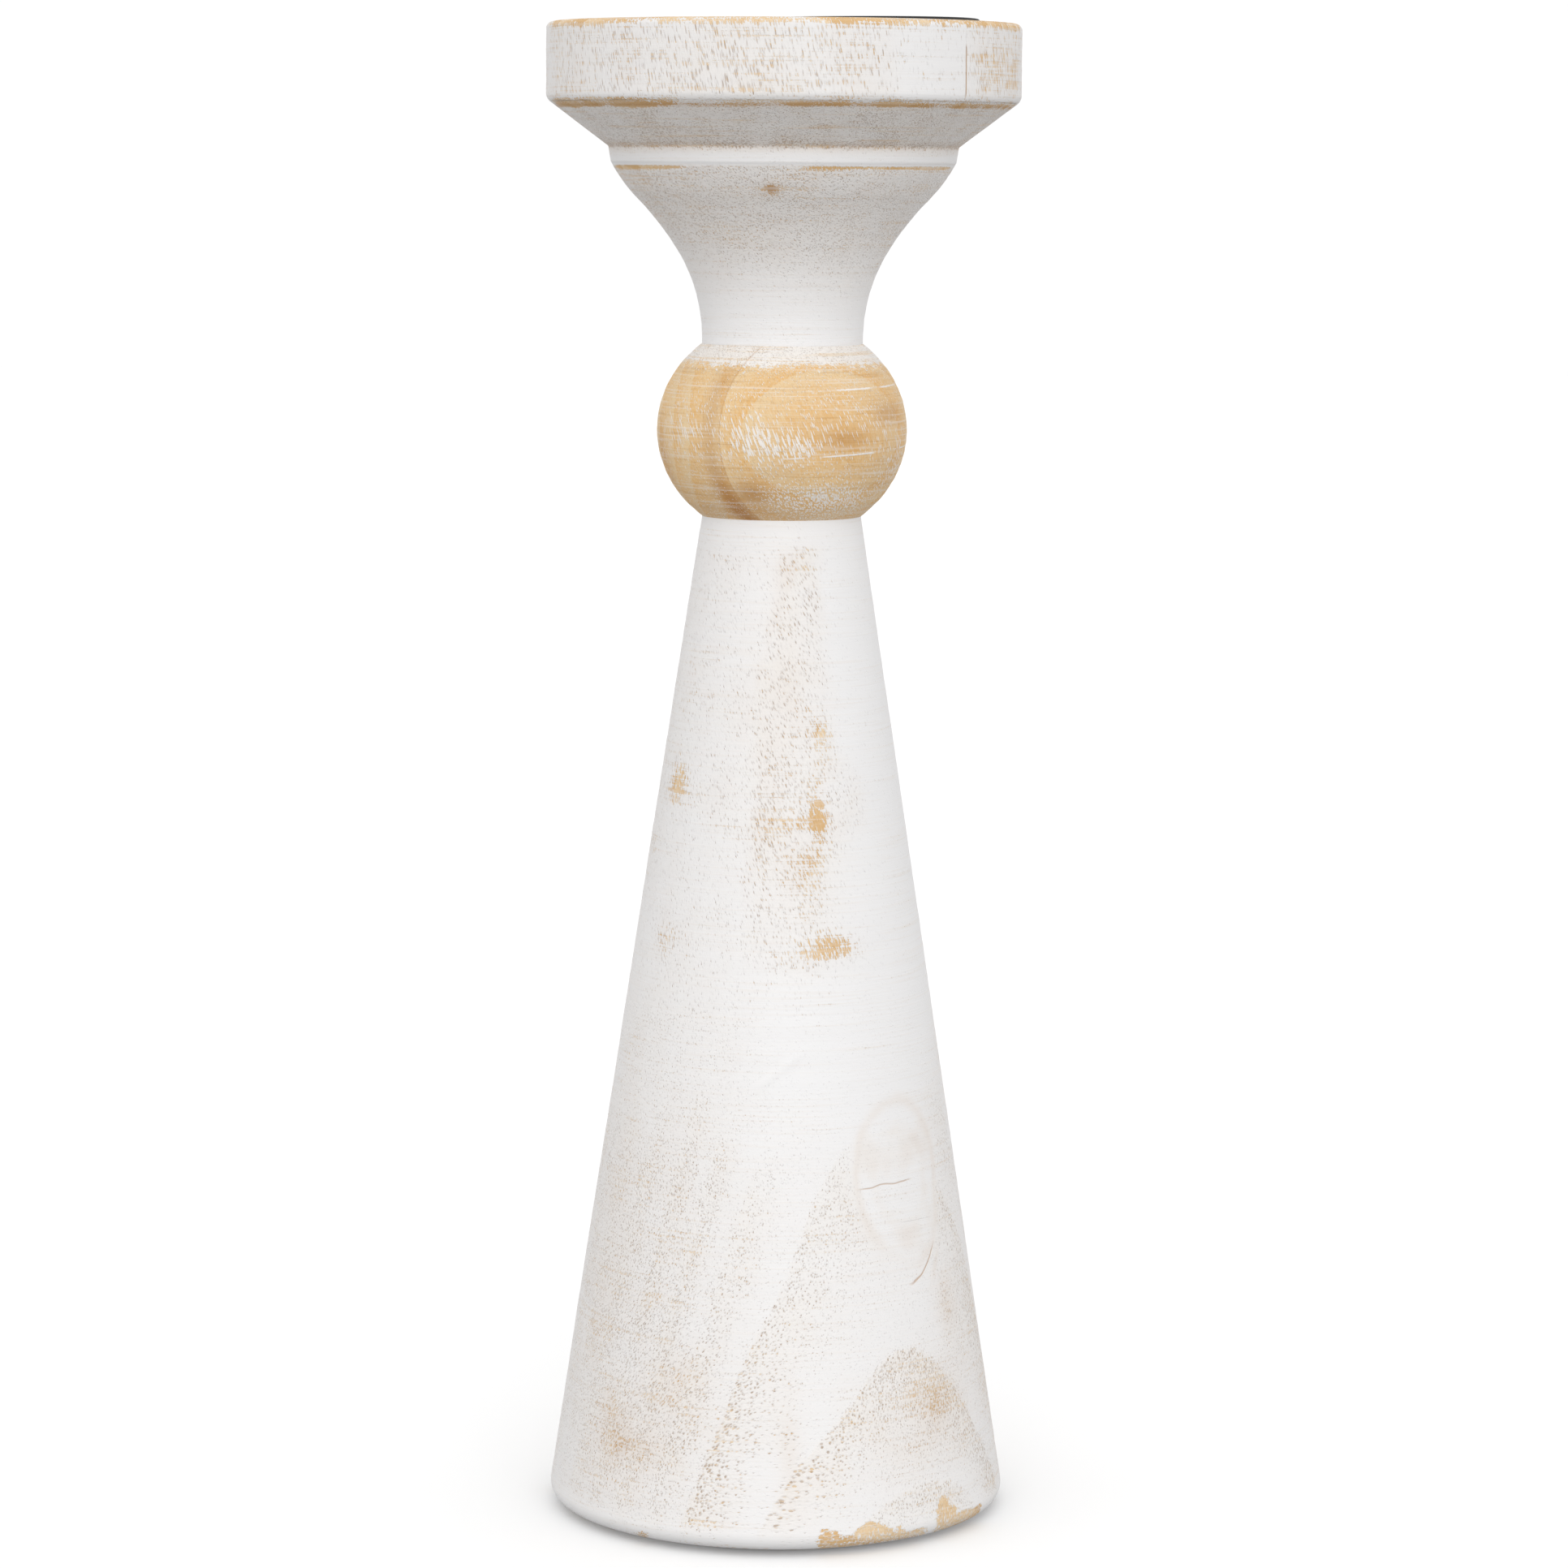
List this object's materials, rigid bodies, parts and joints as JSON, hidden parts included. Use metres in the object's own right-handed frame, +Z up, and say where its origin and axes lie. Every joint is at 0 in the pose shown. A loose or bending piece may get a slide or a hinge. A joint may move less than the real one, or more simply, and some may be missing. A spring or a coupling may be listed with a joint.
{
  "type": "pillar candlestick",
  "caption": "Turned wooden pillar candlestick: a tall cone foot, a ball bead and a flared cup, with a loose flat steel plate in the top for a wide pillar candle.",
  "frame": {"origin": "centre of the felt pad's underside, on the surface that the candlestick stands on", "axes": "+Z up along the turning axis, -Y towards the front"},
  "size_m": [0.1, 0.1, 0.3181],
  "materials": {
    "painted_wood": "rubbed-back matt white paint on turned wood",
    "bare_wood": "turned wood with most of its white paint rubbed off",
    "dowel_wood": "fluted hardwood pin",
    "black_steel": "satin black powder coat on pressed steel",
    "grey_felt": "needled felt"
  },
  "bodies": {
    "stand": {"felt_base_pad": "grey_felt", "base_front_board": "painted_wood", "base_back_board": "painted_wood", "bead_front_board": "bare_wood", "bead_back_board": "bare_wood", "cup_left_board": "painted_wood", "cup_right_board": "painted_wood", "lower_dowel_pin": "dowel_wood", "upper_dowel_pin": "dowel_wood"},
    "plate": {"candle_plate": "black_steel"}
  },
  "joints": [
    {"name": "plate_lift", "type": "slide", "parent": "stand", "child": "plate", "axis": [0, 0, 1], "range_m": [0, 0.03]}
  ]
}
